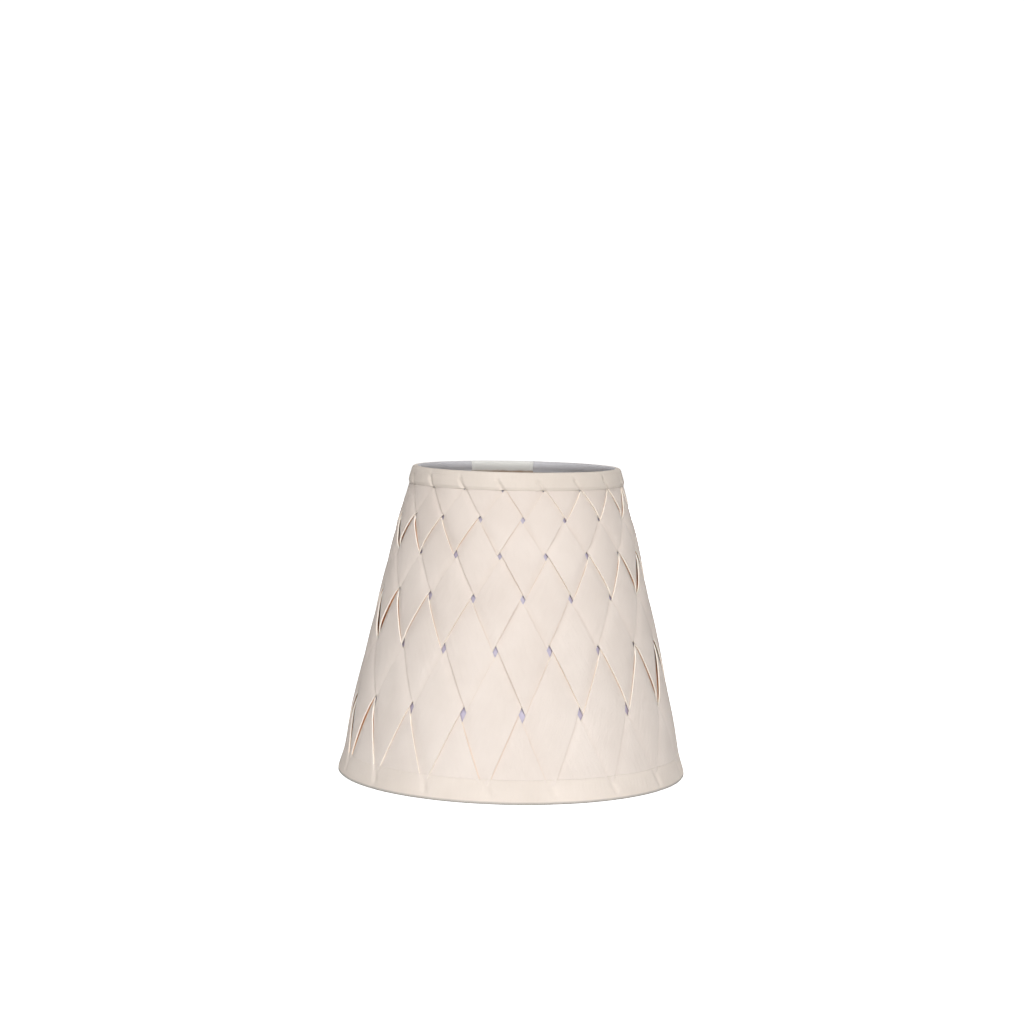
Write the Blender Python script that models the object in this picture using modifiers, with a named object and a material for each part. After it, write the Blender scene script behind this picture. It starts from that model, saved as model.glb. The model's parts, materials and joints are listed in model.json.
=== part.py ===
"""Clip-on lamp shade: a small cone of woven card strips over a stiff liner.

Seventeen strips lean one way round the cone and seventeen the other, over and under
each other like basket work.  A wire ring stiffens each rim under a folded trim, and a
bridge wire across the top ring carries a tilting clip whose two sprung loops grip the
glass of a candle bulb.

The origin is the middle of the bottom rim, +Z is up and the front faces -Y.
An azimuth is measured from the front, growing towards +X.
"""
from math import acos, asin, ceil, cos, degrees, floor, hypot, pi, radians, sin

import bmesh
import bpy

# ---- overall sizes (metres) --------------------------------------------------------
BOTTOM_DIAMETER = 0.127
TOP_DIAMETER = 0.0762
HEIGHT = 0.1104

# ---- layers, from outside to inside ------------------------------------------------
GAP = 0.0003              # air left between pieces that rest on each other
TRIM_THICK = 0.00045      # folded fabric trim
STRIP_THICK = 0.0005      # card strip
LINER_THICK = 0.0004      # stiff rolled liner
SEAM_TAPE_THICK = 0.0003
FACET = 0.00008           # room for the flats of the rolled pieces

# ---- the weave ---------------------------------------------------------------------
STRIPS = 17               # strips leaning each way
STRIP_COVER = 0.90        # width of a strip as a share of its spacing
STRIP_LEAN = radians(36.35)     # between a strip and the slope, at the top rim
FIRST_CROSSING = 0.0054   # highest row of crossings, below the top rim
WEAVE_TURN = radians(3.62)      # azimuth of one crossing in that row

# ---- rims --------------------------------------------------------------------------
TOP_TRIM_DEPTH = 0.0060
BOTTOM_TRIM_DEPTH = 0.0080
SEAM_AZIMUTH = radians(188)     # liner joint, at the back
LINER_SLIT = 0.0004
SEAM_TAPE_WIDTH = 0.022

# ---- flame clip --------------------------------------------------------------------
BRIDGE_WIRE = 0.0018
BRIDGE_DROP = 0.012       # middle of the bridge below the top rim
BRIDGE_FLAT = 0.022       # straight middle run of the bridge
SADDLE_WIDTH = 0.012
SADDLE_PLATE = 0.0008
SADDLE_WALL = 0.0007
HINGE_SPREAD = 0.016      # between the two jaw hinges
JAW_WIRE = 0.0016
JAW_LENGTH = 0.0368
JAW_WIDTH = 0.0212
JAW_BOW = 0.0026          # how far a jaw bows out round the bulb
JAW_FLARE = 0.0015        # how far its tip stands out

ROUND_STEPS = 64          # flats round the rolled pieces

# ---- worked out from the sizes above -----------------------------------------------
swing = (STRIP_THICK + GAP) / 2
weave_out = swing + STRIP_THICK / 2
liner_out = -weave_out - GAP - FACET
leaf_in = liner_out - LINER_THICK - GAP - TRIM_THICK
leaf_out = weave_out + GAP + TRIM_THICK
fold_middle = (leaf_out + leaf_in) / 2
fold_radius = (leaf_out - leaf_in) / 2
FOLD_ANGLES = [radians(a) for a in (0, 30, 60, 120, 150, 180)]
fold_height = fold_radius * sin(FOLD_ANGLES[2])
ring_radius = (fold_radius - TRIM_THICK) * sin(FOLD_ANGLES[2]) - 0.7 * GAP

bottom_radius = BOTTOM_DIAMETER / 2 - leaf_out
top_radius = TOP_DIAMETER / 2 - leaf_out
slant = hypot(HEIGHT, bottom_radius - top_radius)
half_angle = asin((bottom_radius - top_radius) / slant)
apex = HEIGHT * bottom_radius / (bottom_radius - top_radius)

pitch = 2 * pi / STRIPS
flat_pitch = pitch * sin(half_angle)
strip_pass = (apex - HEIGHT) / cos(half_angle) * sin(STRIP_LEAN)

ring_top = HEIGHT - fold_height
ring_bottom = fold_height
end_top = ring_top - ring_radius - GAP
end_bottom = ring_bottom + ring_radius + GAP

bridge_z = HEIGHT - BRIDGE_DROP
hinge_z = bridge_z - BRIDGE_WIRE / 2 - GAP - SADDLE_PLATE / 2 - 0.0001


# ---- collections and materials -----------------------------------------------------
for old in list(bpy.data.objects):
    bpy.data.objects.remove(old, do_unlink=True)

parts = bpy.data.collections.new("lamp_shade")
cutters = bpy.data.collections.new("cutters")
for collection in (parts, cutters):
    bpy.context.scene.collection.children.link(collection)


def material(name, colour, roughness, metallic=0.0):
    """One named surface."""
    made = bpy.data.materials.new(name)
    made.use_nodes = True
    made.diffuse_color = (*colour, 1.0)
    surface = made.node_tree.nodes["Principled BSDF"]
    surface.inputs["Base Color"].default_value = (*colour, 1.0)
    surface.inputs["Roughness"].default_value = roughness
    surface.inputs["Metallic"].default_value = metallic
    return made


card_down = material("strip_card_down", (0.85, 0.76, 0.67), 0.75)
card_up = material("strip_card_up", (0.83, 0.74, 0.65), 0.75)
trim_cloth = material("trim_cloth", (0.80, 0.71, 0.62), 0.85)
liner_sheet = material("liner_sheet", (0.62, 0.58, 0.60), 0.55)
tape_sheet = material("seam_tape_sheet", (0.78, 0.74, 0.70), 0.60)
ring_steel = material("ring_steel", (0.60, 0.60, 0.62), 0.35, 1.0)
clip_steel = material("clip_steel", (0.75, 0.66, 0.42), 0.30, 1.0)


# ---- small helpers -----------------------------------------------------------------
def middle(z):
    """Radius of the weave's middle surface at a height."""
    return bottom_radius + (top_radius - bottom_radius) * z / HEIGHT


def around(azimuth, radius, z):
    """A place at an azimuth measured from the front."""
    return (radius * sin(azimuth), -radius * cos(azimuth), z)


def add_object(name, data, surface, collection=parts):
    """An object in its collection, smooth where it is round."""
    made = bpy.data.objects.new(name, data)
    collection.objects.link(made)
    if surface:
        data.materials.append(surface)
    return made


def finish_mesh(bm, name, smooth=True):
    """Turn an edited mesh into data with outward faces."""
    for face in bm.faces:
        face.smooth = smooth
    data = bpy.data.meshes.new(name)
    bm.to_mesh(data)
    bm.free()
    return data


def solidify(owner, thick):
    """Give a sheet its thickness, half on each side."""
    wall = owner.modifiers.new("thickness", "SOLIDIFY")
    wall.thickness = thick
    wall.offset = 0.0
    wall.use_even_offset = False


def boolean(owner, tool, operation):
    """Join or cut with a hidden tool body."""
    step = owner.modifiers.new(operation.lower(), "BOOLEAN")
    step.operation = operation
    step.solver = "EXACT"
    step.object = tool


def tool_body(name, bm):
    """A body that only shapes another piece."""
    tool = add_object(name, finish_mesh(bm, name, False), None, cutters)
    tool.hide_render = True
    tool.display_type = "WIRE"
    return tool


def box_body(name, low, high):
    """Tool box between two corners."""
    bm = bmesh.new()
    bmesh.ops.create_cube(bm, size=1.0)
    for v in bm.verts:
        v.co = [a + (c + 0.5) * (b - a) for a, b, c in zip(low, high, v.co)]
    return tool_body(name, bm)


def rod_mesh(radius, length, y, z, sides=24):
    """Cylinder along X."""
    bm = bmesh.new()
    bmesh.ops.create_cone(bm, cap_ends=True, segments=sides, radius1=radius,
                          radius2=radius, depth=length)
    for v in bm.verts:
        v.co = (v.co.z, v.co.x + y, v.co.y + z)
    return bm


def revolve(name, profile, surface, steps=ROUND_STEPS):
    """Closed profile of (radius, height) points turned about Z."""
    bm = bmesh.new()
    corners = [bm.verts.new((radius, 0, z)) for radius, z in profile]
    for first, second in zip(corners, corners[1:] + corners[:1]):
        bm.edges.new((first, second))
    made = add_object(name, finish_mesh(bm, name), surface)
    turn = made.modifiers.new("revolve", "SCREW")
    turn.axis = "Z"
    turn.steps = steps
    turn.render_steps = steps
    turn.use_merge_vertices = True
    turn.merge_threshold = 0.00001
    turn.use_smooth_shade = True
    return made


def wire(name, points, radius, surface, closed=False, origin=(0, 0, 0)):
    """Round wire along a line of points, held about its own origin."""
    curve = bpy.data.curves.new(name, "CURVE")
    curve.dimensions = "3D"
    curve.bevel_depth = radius
    curve.bevel_resolution = 2
    curve.use_fill_caps = not closed
    line = curve.splines.new("POLY")
    line.points.add(len(points) - 1)
    for spot, place in zip(line.points, points):
        spot.co = (*(a - b for a, b in zip(place, origin)), 1)
    line.use_cyclic_u = closed
    line.use_smooth = True
    made = add_object(name, curve, surface)
    made.location = origin
    return made


# ---- woven strips ------------------------------------------------------------------
# On the unrolled cone each strip is a straight band.  "level" counts rows of crossings
# down the slope from FIRST_CROSSING; "run" counts crossings along a strip and "side"
# crosses it, so level = run - side.
def turn_at(z):
    """Angle on the unrolled cone between a strip's nearest pass and a height."""
    return acos(strip_pass * cos(half_angle) / (apex - z))


def level_at(z):
    """Row of crossings at a height."""
    return 2 * (turn_at(z) - turn_at(HEIGHT - FIRST_CROSSING)) / flat_pitch


def height_at(level):
    """Height of a row of crossings."""
    turn = turn_at(HEIGHT - FIRST_CROSSING) + level * flat_pitch / 2
    return apex - strip_pass / cos(turn) * cos(half_angle)


def over_under(run):
    """+1 where a strip passes over, -1 where it passes under, sloping in the gaps."""
    nearest = round(run)
    sense = 1 if nearest % 2 == 0 else -1
    past = abs(run - nearest) - STRIP_COVER / 2
    if past <= 0:
        return sense
    return sense * (1 - past / (0.5 - STRIP_COVER / 2))


def woven_strip(name, lean):
    """Sheet for the strips that lean one way; lean is +1 or -1."""
    half = STRIP_COVER / 2
    top, bottom = level_at(end_top), level_at(end_bottom)
    counts = range(floor(top - half), ceil(bottom + half) + 1)
    rows = [n + part for n in counts for part in (-half, 0, half)]
    bm = bmesh.new()
    bmesh.ops.create_grid(bm, x_segments=2, y_segments=len(rows) - 1, size=0.5)
    for v in bm.verts:
        side = 2 * half * v.co.x
        run = rows[round((v.co.y + 0.5) * (len(rows) - 1))]
        z = height_at(run - side)
        lift = lean * swing * over_under(run)
        azimuth = lean * (run + side) / 2 * pitch
        radius = middle(z) + lift * cos(half_angle)
        v.co = around(azimuth, radius, z + lift * sin(half_angle))
    bmesh.ops.triangulate(bm, faces=bm.faces, quad_method="LONG_EDGE")
    for height, keep in ((end_top, -1), (end_bottom, 1)):
        bmesh.ops.bisect_plane(bm, geom=bm.verts[:] + bm.edges[:] + bm.faces[:],
                               plane_co=(0, 0, height), plane_no=(0, 0, -keep),
                               clear_outer=True)
    bmesh.ops.remove_doubles(bm, verts=bm.verts, dist=0.00002)
    return finish_mesh(bm, name)


for lean, name, surface in ((1, "strip_down", card_down), (-1, "strip_up", card_up)):
    sheet = woven_strip(name, lean)
    sheet.materials.append(surface)
    for count in range(STRIPS):
        strip = add_object(f"{name}_{count + 1:02d}", sheet, None)
        strip.rotation_euler.z = WEAVE_TURN + count * pitch
        solidify(strip, STRIP_THICK)


# ---- liner and the tape over its joint ---------------------------------------------
def rolled_sheet(name, start, stop, steps, rows, thick, surface):
    """Sheet rolled on the cone; rows are (height, offset from the weave's middle)."""
    bm = bmesh.new()
    bmesh.ops.create_grid(bm, x_segments=steps, y_segments=len(rows) - 1, size=0.5)
    for v in bm.verts:
        z, offset = rows[round((v.co.y + 0.5) * (len(rows) - 1))]
        azimuth = start + (v.co.x + 0.5) * (stop - start)
        v.co = around(azimuth, middle(z) + offset, z)
    made = add_object(name, finish_mesh(bm, name), surface)
    solidify(made, thick)
    return made


slit = LINER_SLIT / bottom_radius / 2
liner_middle = liner_out - LINER_THICK / 2
rolled_sheet("liner", SEAM_AZIMUTH + slit, SEAM_AZIMUTH + 2 * pi - slit, ROUND_STEPS,
             [(end_bottom, liner_middle), (end_top, liner_middle)],
             LINER_THICK, liner_sheet)

tape_on_liner = liner_out - LINER_THICK - GAP - FACET - SEAM_TAPE_THICK / 2
tape_on_leaf = leaf_in - GAP - FACET - SEAM_TAPE_THICK / 2
tape_half = SEAM_TAPE_WIDTH / (top_radius + bottom_radius)
tape_rows = [(ring_bottom, tape_on_leaf),
             (BOTTOM_TRIM_DEPTH + 0.0010, tape_on_leaf),
             (BOTTOM_TRIM_DEPTH + 0.0030, tape_on_liner),
             (HEIGHT - TOP_TRIM_DEPTH - 0.0030, tape_on_liner),
             (HEIGHT - TOP_TRIM_DEPTH - 0.0010, tape_on_leaf),
             (ring_top, tape_on_leaf)]
rolled_sheet("seam_tape", SEAM_AZIMUTH - tape_half, SEAM_AZIMUTH + tape_half, 6,
             tape_rows, SEAM_TAPE_THICK, tape_sheet)


# ---- rings and trims ---------------------------------------------------------------
def ring(name, z):
    """Round wire ring lying under a trim's fold."""
    sides = 8
    angles = [-2 * pi * (n + 0.5) / sides for n in range(sides)]
    centre = middle(z) + fold_middle
    profile = [(centre + ring_radius * cos(a), z + ring_radius * sin(a)) for a in angles]
    return revolve(name, profile, ring_steel)


def trim(name, edge, ring_z, leaf_edge):
    """Strip of cloth folded over a rim; edge is +1 at the top and -1 at the bottom."""
    def skin(radius):
        fold = [(fold_middle + radius * cos(a), ring_z + edge * radius * sin(a))
                for a in FOLD_ANGLES]
        return ([(fold[0][0], leaf_edge)] + fold + [(fold[-1][0], leaf_edge)])
    outline = skin(fold_radius)[::-1] + skin(fold_radius - TRIM_THICK)
    if edge < 0:
        outline.reverse()
    return revolve(name, [(middle(z) + offset, z) for offset, z in outline], trim_cloth)


ring("top_ring", ring_top)
ring("bottom_ring", ring_bottom)
trim("bottom_trim", -1, ring_bottom, BOTTOM_TRIM_DEPTH)
top_trim = trim("top_trim", 1, ring_top, HEIGHT - TOP_TRIM_DEPTH)

# The top trim is snipped on its inner side where the bridge reaches the ring.
notch_reach = middle(ring_top) + fold_middle - ring_radius * 0.2
notch_half = BRIDGE_WIRE / 2 + 0.0005
boolean(top_trim,
        box_body("bridge_notch", (-notch_reach, -notch_half, HEIGHT - 0.012),
                 (notch_reach, notch_half, ring_top + 0.0003)),
        "DIFFERENCE")


# ---- bridge wire -------------------------------------------------------------------
bridge_end_x = middle(ring_top) + fold_middle - ring_radius - GAP
bridge_end_z = ring_top - 0.0010


def bridge_points():
    """Line of the bridge from left to right: flat in the middle, rising to the ring."""
    steps = 8
    flat = BRIDGE_FLAT / 2
    ramp = []
    for n in range(steps + 1):
        share = n / steps
        rise = (1 - cos(pi * share)) / 2
        ramp.append((flat + share * (bridge_end_x - 0.0015 - flat), 0,
                     bridge_z + rise * (bridge_end_z - bridge_z)))
    right = ramp + [(bridge_end_x, 0, bridge_end_z)]
    return [(-x, y, z) for x, y, z in reversed(right)] + right


wire("bridge", bridge_points(), BRIDGE_WIRE / 2, clip_steel)


# ---- saddle that tilts on the bridge -----------------------------------------------
def on_axis(bm):
    """Shift a tool mesh so that the bridge wire's axis is its origin."""
    bmesh.ops.translate(bm, verts=bm.verts, vec=(0, 0, -bridge_z))
    return bm


barrel_bore = BRIDGE_WIRE / 2 + GAP
hinge_bore = JAW_WIRE / 2 + GAP
barrel = on_axis(rod_mesh(barrel_bore + SADDLE_WALL, SADDLE_WIDTH, 0, bridge_z))
saddle = add_object("clip_saddle", finish_mesh(barrel, "clip_saddle", False), clip_steel)
saddle.location.z = bridge_z

plate_half = HINGE_SPREAD / 2 - hinge_bore - SADDLE_WALL / 3
plate = box_body("saddle_plate",
                 (-SADDLE_WIDTH / 2, -plate_half, hinge_z - SADDLE_PLATE / 2),
                 (SADDLE_WIDTH / 2, plate_half, hinge_z + SADDLE_PLATE / 2))
boolean(saddle, plate, "UNION")
for place, y in (("front", -HINGE_SPREAD / 2), ("back", HINGE_SPREAD / 2)):
    knuckle = rod_mesh(hinge_bore + SADDLE_WALL, SADDLE_WIDTH, y, hinge_z)
    boolean(saddle, tool_body(f"knuckle_{place}", knuckle), "UNION")
for place, y in (("front", -HINGE_SPREAD / 2), ("back", HINGE_SPREAD / 2)):
    hole = rod_mesh(hinge_bore, SADDLE_WIDTH * 2, y, hinge_z)
    boolean(saddle, tool_body(f"hinge_hole_{place}", hole), "DIFFERENCE")
bore = rod_mesh(barrel_bore, SADDLE_WIDTH * 2, 0, bridge_z)
boolean(saddle, tool_body("bridge_hole", bore), "DIFFERENCE")


# ---- sprung jaws -------------------------------------------------------------------
def jaw_points(facing):
    """Closed loop of one jaw; facing is -1 for the front jaw and +1 for the back."""
    half = JAW_WIDTH / 2
    shoulder = SADDLE_WIDTH / 2 + 0.0006
    side = [(shoulder, 0.0), (shoulder + 0.45 * (half - shoulder), 0.022),
            (shoulder + 0.80 * (half - shoulder), 0.080),
            (half * 0.975, 0.20), (half, 0.34), (half, 0.50), (half * 0.955, 0.66),
            (half * 0.83, 0.80), (half * 0.62, 0.905), (half * 0.34, 0.975)]
    loop = side + [(0.0, 1.0)] + [(-x, drop) for x, drop in reversed(side)]
    places = []
    for x, drop in loop:
        out = HINGE_SPREAD / 2 + JAW_BOW * sin(pi * drop) + JAW_FLARE * drop
        places.append((x, facing * out, hinge_z - JAW_LENGTH * drop))
    return places


for place, facing in (("front", -1), ("back", 1)):
    wire(f"jaw_{place}", jaw_points(facing), JAW_WIRE / 2, clip_steel, closed=True,
         origin=(0, facing * HINGE_SPREAD / 2, hinge_z))
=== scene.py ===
"""Clip-on lamp shade: fabric-faced card strips woven over a stiff liner.

The weave is laid out on the unrolled cone.  There every strip is a straight band;
"level" counts rows of crossings down the slope, "run" counts crossings along one strip
and "side" crosses it, so that level = run - side.  Azimuths start at the front, which
faces -Y, and grow towards +X.
"""
import json
import random
from math import ceil, cos, floor, hypot, pi, radians, sin, tanh

import bmesh
import bpy
import numpy as np
from mathutils import Matrix, Vector


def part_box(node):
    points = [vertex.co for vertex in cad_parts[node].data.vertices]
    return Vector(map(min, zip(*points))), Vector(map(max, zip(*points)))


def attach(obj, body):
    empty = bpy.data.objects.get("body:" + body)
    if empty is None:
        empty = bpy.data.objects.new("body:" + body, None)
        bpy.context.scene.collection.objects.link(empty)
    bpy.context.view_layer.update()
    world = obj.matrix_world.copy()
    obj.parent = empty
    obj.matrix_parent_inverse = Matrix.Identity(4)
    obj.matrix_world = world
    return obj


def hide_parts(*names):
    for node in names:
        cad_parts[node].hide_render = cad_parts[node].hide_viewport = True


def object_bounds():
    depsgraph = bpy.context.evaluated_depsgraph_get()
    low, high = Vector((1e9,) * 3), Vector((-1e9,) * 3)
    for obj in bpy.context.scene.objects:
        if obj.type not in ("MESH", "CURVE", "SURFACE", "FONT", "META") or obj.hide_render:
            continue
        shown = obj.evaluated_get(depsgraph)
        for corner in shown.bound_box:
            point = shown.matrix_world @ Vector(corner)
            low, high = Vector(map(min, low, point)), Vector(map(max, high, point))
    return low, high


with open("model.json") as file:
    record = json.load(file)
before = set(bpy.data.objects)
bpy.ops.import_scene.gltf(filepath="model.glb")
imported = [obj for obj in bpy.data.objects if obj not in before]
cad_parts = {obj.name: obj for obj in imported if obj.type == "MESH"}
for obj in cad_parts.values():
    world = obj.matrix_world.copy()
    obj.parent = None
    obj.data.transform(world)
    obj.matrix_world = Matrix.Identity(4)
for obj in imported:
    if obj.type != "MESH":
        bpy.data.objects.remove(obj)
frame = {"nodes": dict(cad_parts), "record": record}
cad_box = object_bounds()

MM = 0.001

# ---- weave layout, laid as the frame's strips are -----------------------------------
STRIPS = 17                       # strips leaning each way
STRIP_COVER = 0.893               # strip width over spacing; the frame's is 0.90
STRIP_LEAN = radians(36.35)       # between a strip and the slope, at the top rim
FIRST_CROSSING = 5.4 * MM         # highest row of crossings, below the top rim
WEAVE_TURN = radians(3.62)        # azimuth of one crossing in that row
SEAM_AZIMUTH = radians(188)       # liner joint, at the back

# ---- layers, as distances from the weave's middle surface ---------------------------
TRIM_FACE = 1.40 * MM             # outermost face of the trims in the frame
SWING_OVER = 0.66 * MM            # how far a strip passes over its neighbour
SWING_UNDER = 0.46 * MM           # and under the next
STRIP_THICK = 0.48 * MM
STRIP_CROWN = 0.13 * MM           # a strip's middle stands this much above its edges
PRESSED = 0.72                    # share of that relief left next to the trims
LOOSE = 0.50                      # extra relief left and right, where the weave is slack
STAND_OFF = 0.38 * MM             # and how far it stands away from the liner there
SHOULDER = 2.0                    # how square a strip's rise is over a crossing
LINER_FACE = -1.00 * MM
LINER_THICK = 0.40 * MM
LEAF_THICK = 0.30 * MM            # cloth of the trims
LEAF_IN = -1.60 * MM              # inner face of a trim's inner leaf, at its free edge
FOLD_MIDDLE = -0.38 * MM          # centre of the fold round a ring
FOLD_RADIUS = 1.62 * MM
CREST_PROUD = 0.50 * MM           # the top fold's cloth stands above the frame

# ---- positions read from the frame --------------------------------------------------
height = cad_box[1].z
ring_low = sum(corner.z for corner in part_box("bottom_ring")) / 2
ring_high = sum(corner.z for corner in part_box("top_ring")) / 2
strip_low, strip_high = (corner.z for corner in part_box("strip_down_01"))
bottom_trim_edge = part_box("bottom_trim")[1].z
top_trim_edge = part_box("top_trim")[0].z
wide_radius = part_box("bottom_trim")[1].x - TRIM_FACE
narrow_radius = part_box("top_trim")[1].x - TRIM_FACE
taper = (wide_radius - narrow_radius) / (top_trim_edge - ring_low)
base_radius = wide_radius + taper * ring_low
apex = base_radius / taper
slope = hypot(1, taper)
lean_out, lean_up = 1 / slope, taper / slope    # the cone's outward normal

pitch = 2 * pi / STRIPS
flat_pitch = pitch * lean_up
strip_pass = (apex - height) / lean_out * sin(STRIP_LEAN)


# ---- layout of the weave ------------------------------------------------------------
def middle(z):
    """Radius of the weave's middle surface at a height."""
    return base_radius - taper * z


def turn_at(z):
    """Angle on the unrolled cone between a strip's nearest pass and a height."""
    return np.arccos(strip_pass * lean_out / (apex - z))


first_turn = turn_at(height - FIRST_CROSSING)


def level_at(z):
    """Row of crossings at a height."""
    return 2 * (turn_at(z) - first_turn) / flat_pitch


def height_at(level):
    """Height of a row of crossings."""
    return apex - strip_pass / cos(first_turn + level * flat_pitch / 2) * lean_out


def place(azimuth, z, lift):
    """A point over the cone, lift away from the weave's middle surface."""
    radius = middle(z) + lift * lean_out
    return Vector((radius * sin(azimuth), -radius * cos(azimuth), z + lift * lean_up))


def over_under(run):
    """+1 in the middle of a crossing above, -1 below, with soft shoulders."""
    return np.tanh(SHOULDER * np.cos(pi * run)) / tanh(SHOULDER)


def smooth_step(low, high, value):
    """0 below low, 1 above high, easing between."""
    share = min(1.0, max(0.0, (value - low) / (high - low)))
    return share * share * (3 - 2 * share)


# ---- materials ----------------------------------------------------------------------
class Finish:
    """A procedural material built node by node."""

    def __init__(self, name, colour, roughness, metallic=0.0, sheen=0.0):
        self.made = bpy.data.materials.new(name)
        self.made.use_nodes = True
        self.tree = self.made.node_tree
        self.surface = self.tree.nodes["Principled BSDF"]
        self.set(self.surface, "Base Color", (*colour, 1))
        self.set(self.surface, "Roughness", roughness)
        self.set(self.surface, "Metallic", metallic)
        self.set(self.surface, "Sheen Weight", sheen)
        self.relief = None

    def set(self, node, socket, value):
        """Set one socket of a node."""
        node.inputs[socket].default_value = value

    def node(self, kind, **sockets):
        """Add a node; an output given as a value is linked, anything else is set."""
        made = self.tree.nodes.new(kind)
        for name, value in sockets.items():
            socket = made.inputs[name.replace("_", " ")]
            if isinstance(value, bpy.types.NodeSocket):
                self.tree.links.new(value, socket)
            else:
                socket.default_value = value
        return made

    def coordinates(self, output, scale=(1, 1, 1)):
        """Texture coordinates stretched by a mapping."""
        source = self.node("ShaderNodeTexCoord").outputs[output]
        mapping = self.node("ShaderNodeMapping", Vector=source, Scale=scale)
        return mapping.outputs["Vector"]

    def noise(self, vector, scale, detail=2.0, roughness=0.5):
        """Cloudy pattern from 0 to 1."""
        made = self.node("ShaderNodeTexNoise", Vector=vector, Scale=scale, Detail=detail,
                         Roughness=roughness)
        return made.outputs["Fac"]

    def bands(self, vector, scale, direction, distortion=0.0):
        """Even ribs across one direction."""
        made = self.node("ShaderNodeTexWave", Vector=vector, Scale=scale,
                         Distortion=distortion, Detail=1.0)
        made.wave_type = "BANDS"
        made.bands_direction = direction
        return made.outputs["Fac"]

    def math(self, operation, first, second):
        """One arithmetic step."""
        made = self.tree.nodes.new("ShaderNodeMath")
        made.operation = operation
        for socket, value in zip(made.inputs, (first, second)):
            if isinstance(value, bpy.types.NodeSocket):
                self.tree.links.new(value, socket)
            else:
                socket.default_value = value
        return made.outputs[0]

    def remap(self, value, low, high, out_low, out_high):
        """Stretch a value from one range to another."""
        made = self.node("ShaderNodeMapRange", Value=value)
        for name, number in (("From Min", low), ("From Max", high),
                             ("To Min", out_low), ("To Max", out_high)):
            made.inputs[name].default_value = number
        return made.outputs["Result"]

    def blend(self, share, first, second):
        """Colour between two colours."""
        made = self.tree.nodes.new("ShaderNodeMix")
        made.data_type = "RGBA"
        sockets = [s for s in made.inputs if s.type == "RGBA"]
        self.tree.links.new(share, made.inputs["Factor"])
        for socket, value in zip(sockets, (first, second)):
            if isinstance(value, bpy.types.NodeSocket):
                self.tree.links.new(value, socket)
            else:
                socket.default_value = (*value, 1)
        return [s for s in made.outputs if s.type == "RGBA"][0]

    def colour(self, output):
        """Drive the base colour."""
        self.tree.links.new(output, self.surface.inputs["Base Color"])

    def roughness(self, output):
        """Drive the roughness."""
        self.tree.links.new(output, self.surface.inputs["Roughness"])

    def bump(self, output, strength, distance):
        """Add relief; later calls build on earlier ones."""
        made = self.node("ShaderNodeBump", Height=output, Strength=strength,
                         Distance=distance)
        if self.relief:
            self.tree.links.new(self.relief, made.inputs["Normal"])
        self.relief = made.outputs["Normal"]
        self.tree.links.new(self.relief, self.surface.inputs["Normal"])


WAVE_REPEAT = 2 * pi / 20         # length of one band of the wave pattern at scale 1
THREAD = 0.28                     # spacing of the cloth's threads, in mm
TAPE_THREAD = 0.4


def cloth_finish(name, colour, shade, under=None, underside_shadow=None):
    """Matte closely woven cloth, on a UV map in mm.

    Where another strip covers it, painted orange stands for light bounced in the pocket;
    the lowest millimetre, which the shade is stood on, gets a painted grey shadow.
    """
    finish = Finish(name, colour, 0.82, sheen=0.12)
    cloth = finish.coordinates("UV")
    ribs = WAVE_REPEAT / THREAD
    warp = finish.bands(cloth, ribs, "X", 0.6)
    weft = finish.bands(cloth, ribs * 0.93, "Y", 0.6)
    weave = finish.math("MULTIPLY", warp, weft)
    slubs = finish.noise(finish.coordinates("UV", (0.9, 0.12, 1)), 1.0, 3.0)
    cloud = finish.noise(finish.coordinates("Object", (60, 60, 60)), 1.0, 2.0)
    share = finish.math("ADD", finish.remap(slubs, 0.3, 0.75, 0.0, 0.06),
                        finish.remap(cloud, 0.3, 0.7, 0.0, 0.35))
    share = finish.math("ADD", share, finish.remap(weave, 0.0, 1.0, 0.12, 0.0))
    up = finish.node("ShaderNodeSeparateXYZ", Vector=finish.coordinates("Object"))
    # painted shade: darker towards the top and lighter towards the bottom, standing in for
    # light that is stronger low down
    share = finish.math("ADD", share, finish.remap(up.outputs["Z"], 0.0, height, 0.0, 0.6))
    face = finish.blend(share, colour, shade)
    if under:
        # painted light: warm orange of light bounced in the pocket where another strip covers
        # this one
        covered = finish.tree.nodes.new("ShaderNodeAttribute")
        covered.attribute_name = "covered"
        face = finish.blend(covered.outputs["Fac"], face, under)
    if underside_shadow:
        # painted shadow: grey over the lowest millimetre, where the shade rests on the floor
        underside_shadow_share = finish.remap(up.outputs["Z"], 0.25 * MM, 1.05 * MM, 0.80, 0.0)
        face = finish.blend(underside_shadow_share, face, underside_shadow)
    finish.colour(face)
    finish.roughness(finish.remap(slubs, 0.2, 0.8, 0.74, 0.90))
    finish.bump(weave, 0.35, 0.03)
    finish.bump(slubs, 0.05, 0.02)
    return finish.made


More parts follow.
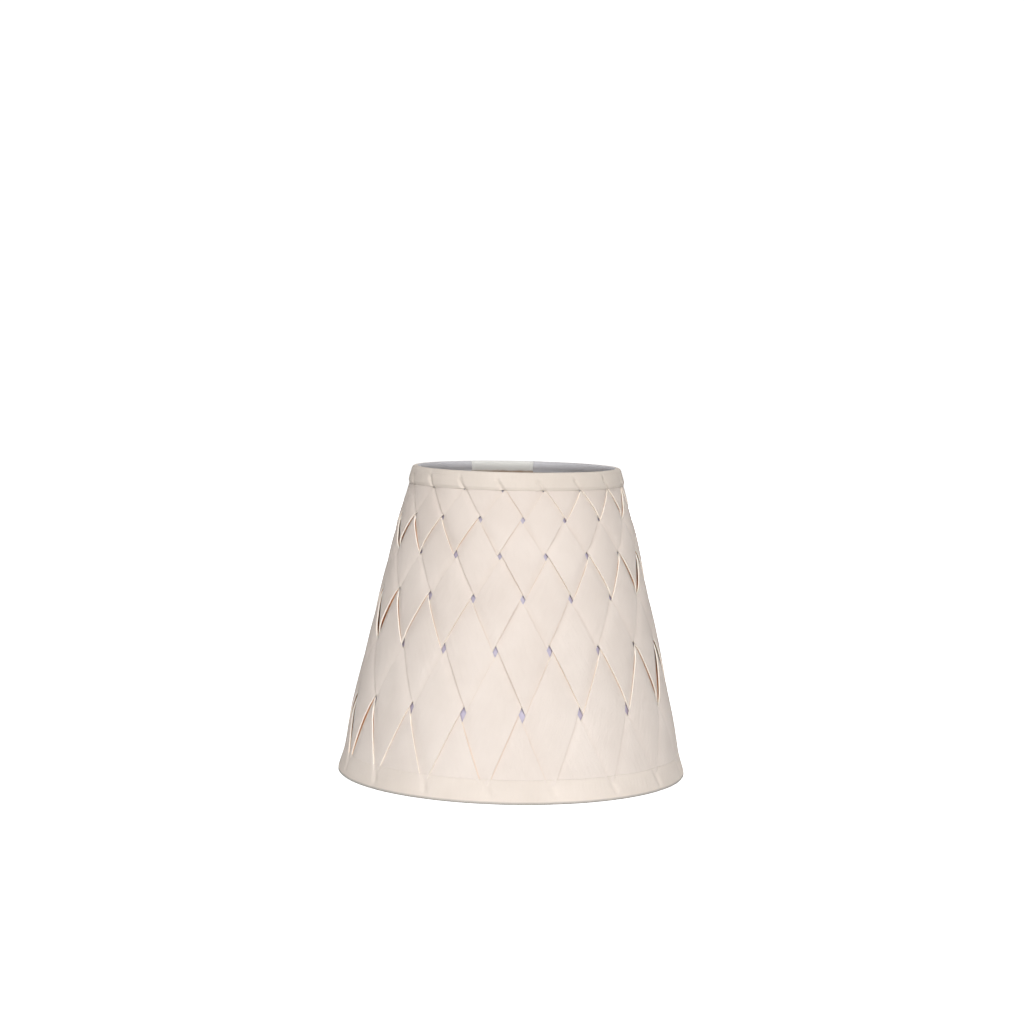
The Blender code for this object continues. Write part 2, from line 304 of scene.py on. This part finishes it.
def tape_finish():
    """Woven tape: pale over the rim; painted shade below: dark brown just below, then tan."""
    finish = Finish("tape_face", (0.85, 0.84, 0.81), 0.8)
    cloth = finish.coordinates("UV")
    ribs = WAVE_REPEAT / TAPE_THREAD
    weave = finish.math("MULTIPLY", finish.bands(cloth, ribs, "X", 0.4),
                        finish.bands(cloth, ribs, "Y", 0.4))
    up = finish.node("ShaderNodeSeparateXYZ", Vector=finish.coordinates("Object"))
    # painted shade: below the rim the tape turns dark brown, easing to tan further down; a
    # noise makes the edge of that shade ragged
    shadow_wobble = finish.noise(finish.coordinates("Object", (220, 220, 220)), 1.0, 3.0)
    edge = finish.math("ADD", up.outputs["Z"], finish.remap(shadow_wobble, 0.3, 0.7, 0.0, 0.4 * MM))
    share = finish.remap(edge, height - 3.3 * MM, height - 2.6 * MM, 1.0, 0.0)
    pale = finish.blend(weave, (0.78, 0.77, 0.74), (0.86, 0.85, 0.82))
    tan = finish.blend(weave, (0.60, 0.53, 0.45), (0.68, 0.61, 0.53))
    shadow_depth = finish.remap(edge, height - 13 * MM, height - 6 * MM, 0.0, 1.0)
    finish.colour(finish.blend(share, pale, finish.blend(shadow_depth, tan, (0.44, 0.31, 0.22))))
    finish.bump(weave, 0.3, 0.03)
    return finish.made


def film_finish(name, colour, shade, roughness):
    """Smooth plastic film with faint rolling streaks."""
    finish = Finish(name, colour, roughness)
    streaks = finish.noise(finish.coordinates("Object", (25, 25, 300)), 1.0, 3.0)
    grain = finish.noise(finish.coordinates("Object", (900, 900, 900)), 1.0, 2.0)
    finish.colour(finish.blend(finish.remap(streaks, 0.3, 0.7, 0.0, 1.0), colour, shade))
    finish.roughness(finish.remap(grain, 0.3, 0.7, roughness - 0.06, roughness + 0.08))
    finish.bump(grain, 0.10, 0.0001)
    return finish.made


def card_finish(name, colour, shade):
    """Bare card core and its cut edges: fine layered fibres."""
    finish = Finish(name, colour, 0.88)
    fibres = finish.noise(finish.coordinates("Object", (500, 500, 1400)), 1.0, 3.0, 0.6)
    finish.colour(finish.blend(finish.remap(fibres, 0.3, 0.7, 0.0, 1.0), colour, shade))
    finish.bump(fibres, 0.30, 0.0001)
    return finish.made


def wire_finish(name, colour, shade, roughness):
    """Drawn and plated wire with fine drawing lines and dulled patches."""
    finish = Finish(name, colour, roughness, metallic=1.0)
    patches = finish.noise(finish.coordinates("Object", (240, 240, 240)), 1.0, 4.0, 0.6)
    lines = finish.noise(finish.coordinates("Object", (300, 3000, 3000)), 1.0, 2.0)
    finish.colour(finish.blend(finish.remap(patches, 0.45, 0.75, 0.0, 1.0), colour, shade))
    finish.roughness(finish.remap(patches, 0.3, 0.7, roughness, roughness + 0.22))
    finish.bump(lines, 0.08, 0.0001)
    return finish.made


# the strips' orange where another strip covers them is painted light bounced in the pocket
strip_cloth = cloth_finish("strip_cloth", (0.88, 0.795, 0.73), (0.73, 0.64, 0.575),
                           under=(0.95, 0.52, 0.22))
# the backs are card; their saturated orange is partly painted, standing in for light bounced
# between the strips
strip_back = card_finish("strip_back", (0.95, 0.54, 0.24), (0.88, 0.45, 0.17))
strip_edge = card_finish("strip_edge", (0.97, 0.92, 0.85), (0.95, 0.85, 0.73))
# the trim's grey lowest millimetre is a painted shadow where the shade stands on the floor
trim_cloth = cloth_finish("trim_cloth", (0.88, 0.79, 0.715), (0.71, 0.63, 0.555),
                          underside_shadow=(0.30, 0.29, 0.27))
trim_lining = cloth_finish("trim_lining", (0.76, 0.75, 0.78), (0.62, 0.61, 0.64))
liner_outside = film_finish("liner_outside", (0.62, 0.58, 0.73), (0.53, 0.49, 0.64), 0.42)
# the inside film is warm white made darker and browner: partly painted shade of the shadowed
# inside
liner_inside = film_finish("liner_inside", (0.64, 0.56, 0.50), (0.58, 0.50, 0.44), 0.45)
tape_face = tape_finish()
ring_wire = wire_finish("ring_wire", (0.55, 0.55, 0.57), (0.30, 0.28, 0.26), 0.35)
clip_plating = wire_finish("clip_plating", (0.78, 0.62, 0.33), (0.52, 0.38, 0.19), 0.24)


# ---- building helpers ---------------------------------------------------------------
def add_piece(name, bm, materials, body, replaced):
    """Turn an edited mesh into a smooth piece that rides on a body."""
    for face in bm.faces:
        face.smooth = True
    mesh = bpy.data.meshes.new(name)
    bm.to_mesh(mesh)
    bm.free()
    for surface in materials:
        mesh.materials.append(surface)
    piece = bpy.data.objects.new(name, mesh)
    bpy.context.scene.collection.objects.link(piece)
    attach(piece, body)
    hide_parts(replaced)
    return piece


def give_wall(piece, thick, inner=0, rim=0):
    """Thicken a sheet inwards; inner and rim pick the materials of the new faces."""
    wall = piece.modifiers.new("wall", "SOLIDIFY")
    wall.thickness = thick
    wall.offset = -1.0
    wall.material_offset = inner
    wall.material_offset_rim = rim


def round_edges(piece, width):
    """Ease sharp edges and keep the broad faces' shading flat."""
    ease = piece.modifiers.new("eased_edges", "BEVEL")
    ease.width = width
    ease.segments = 3
    ease.limit_method = "ANGLE"
    ease.angle_limit = radians(50)
    even = piece.modifiers.new("even_shading", "WEIGHTED_NORMAL")
    even.keep_sharp = True


def face_outwards(bm, face):
    """Turn a sheet so that this face of it looks away from the shade's axis."""
    bm.normal_update()
    centre = face.calc_center_median()
    if face.normal.dot(Vector((centre.x, centre.y, 0))) < 0:
        bmesh.ops.reverse_faces(bm, faces=bm.faces)


def largest_face(bm):
    """A sheet's largest face."""
    return max(bm.faces, key=lambda face: face.calc_area())


def grid(columns, rows):
    """Flat sheet of cells, with its corners at 0 and 1."""
    bm = bmesh.new()
    bmesh.ops.create_grid(bm, x_segments=columns, y_segments=rows, size=0.5)
    bmesh.ops.translate(bm, verts=bm.verts, vec=(0.5, 0.5, 0))
    return bm


def map_cloth(bm, wide, long):
    """Lay a UV map in mm over a flat grid that is wide by long metres."""
    layer = bm.loops.layers.uv.new("cloth")
    for face in bm.faces:
        for loop in face.loops:
            loop[layer].uv = (loop.vert.co.x * wide / MM, loop.vert.co.y * long / MM)


# ---- woven strips -------------------------------------------------------------------
STRIP_COLUMNS = 10
ROWS_PER_CROSSING = 24
PRESS_REACH = 14 * MM             # the trims press the weave down this far from them
SLACK_FROM = 0.78                 # sine of the azimuth where the weave turns slack
SLACK_RAMP = 0.18
POCKET_GLOW_REACH = 0.44                 # reach of the painted pocket orange round a covered crossing, in crossings
POCKET_GLOW_SLACK = 0.04                 # more of it shows where the weave is slack
POCKET_GLOW_FADE = 0.06
EDGE_ROUNDING = 0.14 * MM
STRIP_WIDE = 15 * MM              # mean width, for the cloth's threads
CROSSING_LONG = 22 * MM
WOBBLE_RATE = 1.3                 # radians of a strip's wobble in one crossing
CUT_MERGE = 1e-6
chance = random.Random(17)


class Strip:
    """One strip and its small departures from the even weave."""

    def __init__(self, lean, count):
        self.lean = lean          # +1 runs down to the right, -1 down to the left
        self.count = count
        self.half = STRIP_COVER / 2 * (1 + chance.uniform(-0.020, 0.008))
        self.shift = chance.uniform(-0.008, 0.008)
        self.wobble = chance.uniform(0.002, 0.006)
        self.phase = chance.uniform(0, 2 * pi)
        self.swing = 1 + chance.uniform(-0.08, 0.08)

    def middle_line(self, run):
        """Where the strip's middle lies across its lane."""
        return self.shift + self.wobble * np.sin(WOBBLE_RATE * run + self.phase)

    def turn(self, run, across):
        """Azimuth of a point of the strip."""
        side = across * self.half + self.middle_line(run)
        return WEAVE_TURN + (self.count + self.lean * (run + side) / 2) * pitch

    def slack(self, run, across):
        """How loose the weave is here, from 0 to 1; it is slack left and right."""
        sideways = abs(np.sin(self.turn(run, across)))
        return np.clip((sideways - SLACK_FROM) / SLACK_RAMP, 0, 1)

    def face(self, run, across, z, glued=0.0):
        """How far its outer face stands off the weave's middle surface.

        Under the trims the strips that run down to the right are glued over the others;
        glued is how far that has come, from 0 to 1.
        """
        rise = self.lean * (glued + (1 - glued) * over_under(run))
        relief = self.swing * np.where(rise > 0, SWING_OVER, SWING_UNDER) * rise
        relief += STRIP_CROWN * (1 - across ** 2)
        from_trim = np.minimum(top_trim_edge - z, z - bottom_trim_edge)
        free = np.clip(from_trim / PRESS_REACH, 0, 1)
        slack = self.slack(run, across)
        lifted = STAND_OFF * slack * free + STRIP_THICK / 2
        return relief * (PRESSED + (1 - PRESSED + LOOSE * slack) * free) + lifted

    def build(self, name, slot):
        """Make the strip's piece."""
        reach = 2 * self.half
        start = floor(level_at(strip_high) - reach)
        stop = ceil(level_at(strip_low) + reach)
        bm = grid(STRIP_COLUMNS, (stop - start) * ROWS_PER_CROSSING)
        map_cloth(bm, STRIP_WIDE, CROSSING_LONG * (stop - start))
        covered = bm.verts.layers.float.new("covered")
        for v in bm.verts:
            across = 2 * v.co.x - 1
            run = start + v.co.y * (stop - start)
            crossing = round(run)
            side = across * self.half + self.middle_line(run)
            # where this strip passes under another, mark how much painted pocket orange it
            # takes
            if self.lean * cos(pi * crossing) < 0:
                pocket_glow_reach = POCKET_GLOW_REACH + POCKET_GLOW_SLACK * self.slack(run, across)
                v[covered] = 1 - smooth_step(pocket_glow_reach - POCKET_GLOW_FADE, pocket_glow_reach, abs(run - crossing))
            z = height_at(run - side)
            v.co = place(self.turn(run, across), z, self.face(run, across, z))
        for z, way in ((strip_high, 1), (strip_low, -1)):
            bmesh.ops.bisect_plane(bm, geom=bm.verts[:] + bm.edges[:] + bm.faces[:],
                                   dist=CUT_MERGE, plane_co=(0, 0, z),
                                   plane_no=(0, 0, way), clear_outer=True)
        face_outwards(bm, largest_face(bm))
        area = sum(face.calc_area() for face in bm.faces)
        piece = add_piece(f"woven_{name}", bm, (strip_cloth, strip_back, strip_edge),
                          "shade", name)
        give_wall(piece, STRIP_THICK, inner=1, rim=2)
        round_edges(piece, EDGE_ROUNDING)
        return piece, area


strips = [Strip(lean, count) for lean in (1, -1) for count in range(STRIPS)]
for strip in strips:
    family = "down" if strip.lean > 0 else "up"
    piece, area = strip.build(f"strip_{family}_{strip.count + 1:02d}",
                              f"strip_card_{family}")


def weave_top(azimuth, z, hollow, glued):
    """Distance of the outermost strip, or a glue-filled hole, from the middle surface."""
    spot = (azimuth - WEAVE_TURN) / pitch
    half_level = level_at(z) / 2
    top = np.full(spot.shape, hollow)
    for strip in strips:
        run = half_level + strip.lean * (spot - strip.count)
        side = strip.lean * (spot - strip.count) - half_level
        whole = STRIPS * np.round(side / STRIPS)
        run = run - whole
        side = side - whole
        across = (side - strip.middle_line(run)) / strip.half
        face = strip.face(run, across, z, glued)
        top = np.where(abs(across) <= 1, np.maximum(top, face), top)
    return top / lean_out


# ---- liner and seam tape ------------------------------------------------------------
LINER_SLIT = 0.4 * MM             # between the liner's two edges
LINER_COLUMNS = STRIPS * 12
LINER_ROWS = 24
TAPE_HALF = 12.6 * MM             # half the tape's width
TAPE_TURN = radians(189.2)        # azimuth of its middle
TAPE_THICK = 0.05 * MM
TAPE_COLUMNS = 14
OFF_FOLD = 0.06 * MM              # how far the tape stands off the folds,
OFF_LEAF = 0.05 * MM              # off the trims' inner leaves
OFF_LINER = 0.03 * MM             # and off the liner


def rolled_liner():
    """Film rolled into a cone, its two edges meeting at the back."""
    slit = LINER_SLIT / 2 / base_radius
    bm = grid(LINER_COLUMNS, LINER_ROWS)
    map_cloth(bm, 2 * pi * base_radius, height)
    for v in bm.verts:
        azimuth = SEAM_AZIMUTH + slit + v.co.x * (2 * pi - 2 * slit)
        z = strip_low + v.co.y * (strip_high - strip_low)
        v.co = place(azimuth, z, LINER_FACE * lean_out)
    face_outwards(bm, largest_face(bm))
    piece = add_piece("rolled_liner", bm, (liner_outside, liner_inside), "shade", "liner")
    give_wall(piece, LINER_THICK, inner=1, rim=1)


def seam_tape():
    """Tape over the liner's joint, climbing over the trims' inner leaves."""
    inside = LEAF_IN - OFF_LEAF
    on_liner = LINER_FACE - LINER_THICK - OFF_LINER
    crest = FOLD_MIDDLE - FOLD_RADIUS - OFF_FOLD
    # height and offset of each row, from the bottom fold up over the top one
    rows = [(ring_low, crest), (ring_low + 1.5 * MM, crest),
            (bottom_trim_edge - 1.5 * MM, inside), (bottom_trim_edge + 0.5 * MM, inside),
            (bottom_trim_edge + 2.0 * MM, on_liner), (0.3 * height, on_liner),
            (0.5 * height, on_liner), (0.7 * height, on_liner),
            (top_trim_edge - 2.0 * MM, on_liner), (top_trim_edge + 1.0 * MM, on_liner),
            (top_trim_edge + 2.4 * MM, inside), (ring_high - 1.0 * MM, crest),
            (ring_high, crest)]
    reach = FOLD_RADIUS + OFF_FOLD
    for degree in (165, 150, 135, 120, 105):
        rows.append((ring_high + (reach + CREST_PROUD) * sin(radians(degree)),
                     FOLD_MIDDLE + reach * cos(radians(degree))))
    bm = grid(TAPE_COLUMNS, len(rows) - 1)
    map_cloth(bm, 2 * TAPE_HALF, height)
    for v in bm.verts:
        z, offset = rows[round(v.co.y * (len(rows) - 1))]
        azimuth = TAPE_TURN + (2 * v.co.x - 1) * TAPE_HALF / middle(z)
        radius = middle(z) + offset
        v.co = (radius * sin(azimuth), -radius * cos(azimuth), z)
    face_outwards(bm, largest_face(bm))
    bmesh.ops.reverse_faces(bm, faces=bm.faces)     # the tape's face looks inwards
    piece = add_piece("seam_strip", bm, (tape_face,), "shade", "seam_tape")
    give_wall(piece, TAPE_THICK)


rolled_liner()
seam_tape()


# ---- folded trims -------------------------------------------------------------------
AROUND = STRIPS * 48
LEAF_ROWS = 14
FOLD_STEPS = 14
INNER_ROWS = 6
INNER_SHARE = 0.5                 # how far the inner leaf reaches, against the outer
DRAPE_ROUNDS = 6
SMOOTH_ROUNDS = 2
OWN_PULL = 0.4                    # in a round, weight of a point's own place
SIDE_PULL = 0.15                  # and of each of its four neighbours'
GLUE_START = -0.001               # just below a leaf's free edge
BEDDING = 0.6                     # share of its thickness a free edge sinks into glue
CLOSING_FROM = 0.72               # share of the leaf where it starts to close on the ring
PULLED_IN = 0.75                  # how far it has closed there before it folds
PUFF_RISE = 0.25                  # share of the leaf over which a puff rises
FOLD_SQUARE_OUT = 0.40            # powers that press the fold squarer
FOLD_SQUARE_UP = 0.78
LINING_FROM = 0.45                # share of the fold where the lining starts
INNER_CLOSED = 0.8                # share of the inner leaf where it meets the liner
INNER_THIN_FROM = 0.75            # and where it starts to thin out
TOP_EDGE_RAISED = 0.3 * MM        # the top trim ends this much above the frame's
LEAF_MERGE = 2e-6
OUTERMOST = 10                    # weight of a face's radius when one is picked outside


def draped(rows, hollow, glued_from):
    """Cloth stretched over the weave: it rests on the strips and sags between them.

    hollow is the level of the glue in the holes; glued_from is the share of the leaf
    above which the strips are fully glued down.
    """
    azimuths = 2 * pi * np.arange(AROUND) / AROUND
    glued = [smooth_step(GLUE_START, glued_from, n / LEAF_ROWS) for n in range(len(rows))]
    top = np.array([weave_top(azimuths, z, hollow, glue) for z, glue in zip(rows, glued)])
    cloth = top.copy()
    for _ in range(DRAPE_ROUNDS):
        above = np.vstack((cloth[:1], cloth[:-1]))
        below = np.vstack((cloth[1:], cloth[-1:]))
        beside = np.roll(cloth, 1, 1) + np.roll(cloth, -1, 1)
        cloth = np.maximum(top, OWN_PULL * cloth + SIDE_PULL * (above + below + beside))
    for _ in range(SMOOTH_ROUNDS):
        cloth = (np.roll(cloth, 1, 1) + 2 * cloth + np.roll(cloth, -1, 1)) / 4
    return cloth


def fold_curve(angle):
    """Half turn round a ring, pressed squarer on its outer side."""
    if angle >= pi / 2:
        return cos(angle), sin(angle)
    return cos(angle) ** FOLD_SQUARE_OUT, sin(angle) ** FOLD_SQUARE_UP


def folded_trim(name, replaced, edge, ring_z, leaf_edge, hollow, glued_from,
                free_edge, thin_until, puff):
    """Cloth folded over a rim; edge is +1 at the top and -1 at the bottom.

    free_edge is the share of the cloth's thickness left at a leaf's free edge, and
    thin_until the share of the leaf over which it grows back; puff lifts the leaf.
    """
    outer = [leaf_edge + (ring_z - leaf_edge) * n / LEAF_ROWS
             for n in range(LEAF_ROWS + 1)]
    inner = [ring_z + INNER_SHARE * (leaf_edge - ring_z) * n / INNER_ROWS
             for n in range(1, INNER_ROWS + 1)]
    first_inner = len(outer) + FOLD_STEPS
    rows = first_inner + INNER_ROWS - 1
    resting = draped([min(max(z, strip_low), strip_high) for z in outer],
                     hollow, glued_from)
    bm = grid(AROUND, rows)
    map_cloth(bm, 2 * pi * middle(ring_z), 2 * abs(ring_z - leaf_edge) + pi * FOLD_RADIUS)
    weight = bm.verts.layers.deform.verify()
    inner_verts = set()
    for v in bm.verts:
        column = round(v.co.x * AROUND) % AROUND
        row = round(v.co.y * rows)
        azimuth = 2 * pi * column / AROUND
        full = 1.0
        if row < len(outer):
            z = outer[row]
            full = smooth_step(0, thin_until, row / LEAF_ROWS)
            thick = LEAF_THICK * (free_edge + (1 - free_edge) * full)
            rest = resting[row][column] + thick * (1 - BEDDING + BEDDING * full)
            into_fold = smooth_step(CLOSING_FROM, 1, row / LEAF_ROWS)
            offset = rest + (FOLD_MIDDLE + FOLD_RADIUS - rest) * into_fold * PULLED_IN
            offset += puff * smooth_step(0, PUFF_RISE, row / LEAF_ROWS) * (1 - into_fold)
        elif row < first_inner:
            angle = pi * (row - len(outer) + 1) / FOLD_STEPS
            start = resting[-1][column] + LEAF_THICK
            start += (FOLD_MIDDLE + FOLD_RADIUS - start) * PULLED_IN
            give = (start - FOLD_MIDDLE - FOLD_RADIUS) * max(0.0, cos(angle))
            out, rise = fold_curve(angle)
            offset = FOLD_MIDDLE + FOLD_RADIUS * out + give
            z = ring_z + edge * (FOLD_RADIUS + CREST_PROUD) * rise
            z = min(height + CREST_PROUD, max(0.0, z))
        else:
            share = (row - first_inner + 1) / INNER_ROWS
            z = inner[row - first_inner]
            full = 1 - smooth_step(INNER_THIN_FROM, 1, share)
            closed = smooth_step(0, INNER_CLOSED, share)
            offset = (FOLD_MIDDLE - FOLD_RADIUS
                      + (LEAF_IN - FOLD_MIDDLE + FOLD_RADIUS) * closed)
        radius = middle(z) + offset
        v.co = (radius * sin(azimuth), -radius * cos(azimuth), z)
        v[weight][0] = full
        if row >= len(outer) + LINING_FROM * FOLD_STEPS:
            inner_verts.add(v)
    for face in bm.faces:
        face.material_index = 1 if all(v in inner_verts for v in face.verts) else 0
    bmesh.ops.remove_doubles(bm, verts=bm.verts, dist=LEAF_MERGE)
    face_outwards(bm, min(bm.faces, key=lambda f: edge * f.calc_center_median().z
                          - OUTERMOST * hypot(*f.calc_center_median().xy)))
    piece = add_piece(name, bm, (trim_cloth, trim_lining), "shade", replaced)
    piece.vertex_groups.new(name="leaf")
    give_wall(piece, LEAF_THICK)
    piece.modifiers["wall"].vertex_group = "leaf"
    piece.modifiers["wall"].thickness_vertex_group = free_edge


folded_trim("folded_top_trim", "top_trim", edge=1, ring_z=ring_high,
            leaf_edge=top_trim_edge + TOP_EDGE_RAISED, hollow=-0.20 * MM, glued_from=0.0,
            free_edge=0.35, thin_until=0.3, puff=0.20 * MM)
folded_trim("folded_bottom_trim", "bottom_trim", edge=-1, ring_z=ring_low,
            leaf_edge=bottom_trim_edge, hollow=0.15 * MM, glued_from=0.60,
            free_edge=0.12, thin_until=0.9, puff=0.0)


# ---- rings, bridge and clip ---------------------------------------------------------
BRIDGE_WIRE = 1.8 * MM
BRIDGE_FLAT = 11 * MM             # half of the bridge's straight middle run
BRIDGE_END = 1.5 * MM             # straight run at each of its ends
BRIDGE_STEPS = 8
JAW_WIRE = 1.6 * MM
JAW_BOW = 2.6 * MM                # how far a jaw bows out round the bulb
JAW_FLARE = 1.5 * MM              # how far its tip stands out
JAW_CLEAR = 0.6 * MM              # between the saddle's side and a jaw's shoulder
JAW_HINGE_RUN = 0.8 * MM          # straight run of a jaw's wire at its hinge
CORNER_CUTS = 3


def rounded(points, closed):
    """Cut the corners of a line of points until it reads as a bend."""
    for _ in range(CORNER_CUTS):
        pairs = list(zip(points, points[1:] + points[:1] if closed else points[1:]))
        eased = [spot for a, b in pairs for spot in (a.lerp(b, 0.25), a.lerp(b, 0.75))]
        points = eased if closed else [points[0]] + eased[1:-1] + [points[-1]]
    return points


def bent_wire(name, points, thick, closed, body, replaced):
    """Round plated wire bent along a line."""
    curve = bpy.data.curves.new(name, "CURVE")
    curve.dimensions = "3D"
    curve.bevel_depth = thick / 2
    curve.bevel_resolution = 5
    curve.use_fill_caps = not closed
    line = curve.splines.new("POLY")
    points = rounded([Vector(point) for point in points], closed)
    line.points.add(len(points) - 1)
    for spot, point in zip(line.points, points):
        spot.co = (*point, 1)
    line.use_cyclic_u = closed
    line.use_smooth = True
    curve.materials.append(clip_plating)
    piece = bpy.data.objects.new(name, curve)
    bpy.context.scene.collection.objects.link(piece)
    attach(piece, body)
    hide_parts(replaced)


def bridge_line():
    """The bridge from left to right: flat in the middle, rising to the ring."""
    low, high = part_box("bridge")
    low_z = low.z + BRIDGE_WIRE / 2
    high_z = high.z - BRIDGE_WIRE / 2
    shares = [n / BRIDGE_STEPS for n in range(BRIDGE_STEPS + 1)]
    right = [(BRIDGE_FLAT + share * (high.x - BRIDGE_END - BRIDGE_FLAT), 0,
              low_z + (1 - cos(pi * share)) / 2 * (high_z - low_z)) for share in shares]
    right.append((high.x, 0, high_z))
    return [(-x, y, z) for x, y, z in reversed(right)] + right


def jaw_line(facing, hinge):
    """Closed loop of one jaw, hung from its hinge; facing is -1 for the front jaw."""
    low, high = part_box("jaw_front" if facing < 0 else "jaw_back")
    half = high.x - JAW_WIRE / 2
    long = hinge[2] - low.z - JAW_WIRE / 2
    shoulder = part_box("clip_saddle")[1].x + JAW_CLEAR
    # distance from the middle, and share of the way down
    side = [(shoulder - JAW_HINGE_RUN, 0), (shoulder, 0),
            (shoulder + 0.45 * (half - shoulder), 0.022),
            (shoulder + 0.80 * (half - shoulder), 0.080), (half * 0.975, 0.20),
            (half, 0.34), (half, 0.50), (half * 0.955, 0.66), (half * 0.83, 0.80),
            (half * 0.62, 0.905), (half * 0.34, 0.975)]
    loop = side + [(0.0, 1.0)] + [(-x, drop) for x, drop in reversed(side)]
    return [(x, hinge[1] + facing * (JAW_BOW * sin(pi * drop) + JAW_FLARE * drop),
             hinge[2] - long * drop) for x, drop in loop]


joints = {joint["name"]: joint for joint in frame["record"]["behaviour"]["joints"]}
bent_wire("bridge_wire", bridge_line(), BRIDGE_WIRE, False, "shade", "bridge")
bent_wire("jaw_wire_front", jaw_line(-1, joints["jaw_front_open"]["pos_m"]), JAW_WIRE, True,
          "front_jaw", "jaw_front")
bent_wire("jaw_wire_back", jaw_line(1, joints["jaw_back_open"]["pos_m"]), JAW_WIRE, True,
          "back_jaw", "jaw_back")
for name, surface in (("top_ring", ring_wire), ("bottom_ring", ring_wire),
                      ("clip_saddle", clip_plating)):
    frame["nodes"][name].data.materials.clear()
    frame["nodes"][name].data.materials.append(surface)


# ---- camera, light and floor --------------------------------------------------------
CAMERA_SPOT = (0, -0.7831, 0.1555)
CAMERA_PAN = 0.10                 # degrees to the left,
CAMERA_DOWN = 4.47                # below level
CAMERA_ROLL = 1.064               # and anticlockwise, which makes the shade lean
camera = bpy.data.objects.new("camera", bpy.data.cameras.new("camera"))
camera.data.lens = 76.0
camera.data.sensor_width = 36.0
camera.data.clip_start = 0.01
bpy.context.scene.collection.objects.link(camera)
camera.matrix_world = (Matrix.Translation(CAMERA_SPOT)
                       @ Matrix.Rotation(radians(CAMERA_PAN), 4, "Z")
                       @ Matrix.Rotation(radians(90 - CAMERA_DOWN), 4, "X")
                       @ Matrix.Rotation(radians(CAMERA_ROLL), 4, "Z"))
bpy.context.scene.camera = camera


def soft_light(name, place_at, aim, size, power):
    """A square diffuser aimed at a point."""
    lamp = bpy.data.lights.new(name, "AREA")
    lamp.size = size
    lamp.energy = power
    owner = bpy.data.objects.new(name, lamp)
    bpy.context.scene.collection.objects.link(owner)
    owner.location = place_at
    owner.rotation_euler = (Vector(aim) - Vector(place_at)).to_track_quat("-Z", "Y").to_euler()


centre = (0, 0, height / 2)
soft_light("key", (0.25, -1.07, 0.60), centre, 0.35, 7.9)
soft_light("fill", (-0.55, -1.03, 0.35), centre, 0.80, 3.8)
soft_light("overhead", (0.0, -0.20, 1.20), centre, 0.90, 5.0)
soft_light("back", (0.10, 1.30, 0.20), centre, 0.40, 4.5)

world = bpy.data.worlds.new("studio")
world.use_nodes = True
bpy.context.scene.world = world
nodes = world.node_tree.nodes
links = world.node_tree.links
room = nodes["Background"]
room.inputs["Color"].default_value = (1, 0.97, 0.94, 1)
room.inputs["Strength"].default_value = 0.17
backdrop = nodes.new("ShaderNodeBackground")
backdrop.inputs["Color"].default_value = (1, 1, 1, 1)
backdrop.inputs["Strength"].default_value = 1.1
ray = nodes.new("ShaderNodeLightPath")
pick = nodes.new("ShaderNodeMixShader")
links.new(ray.outputs["Is Camera Ray"], pick.inputs["Fac"])
links.new(room.outputs[0], pick.inputs[1])
links.new(backdrop.outputs[0], pick.inputs[2])
links.new(pick.outputs[0], nodes["World Output"].inputs["Surface"])

FLOOR_RADIUS = 3.0
FLOOR_DROP = 0.2 * MM             # keeps the floor's face clear of the shade's
FLOOR_GLOW = 0.95                 # seen only by the camera, so it lights nothing
floor_bm = bmesh.new()
bmesh.ops.create_circle(floor_bm, cap_ends=True, segments=96, radius=FLOOR_RADIUS)
floor_mesh = bpy.data.meshes.new("studio_floor")
floor_bm.to_mesh(floor_mesh)
floor_bm.free()
studio_floor = bpy.data.objects.new("studio_floor", floor_mesh)
studio_floor.location.z = -FLOOR_DROP
bpy.context.scene.collection.objects.link(studio_floor)
floor_finish = Finish("white_floor", (0.90, 0.90, 0.90), 0.9)
glow = floor_finish.node("ShaderNodeLightPath").outputs["Is Camera Ray"]
floor_finish.set(floor_finish.surface, "Emission Color", (1, 1, 1, 1))
floor_finish.tree.links.new(floor_finish.math("MULTIPLY", glow, FLOOR_GLOW),
                            floor_finish.surface.inputs["Emission Strength"])
floor_mesh.materials.append(floor_finish.made)

bpy.context.scene.view_settings.view_transform = "Standard"
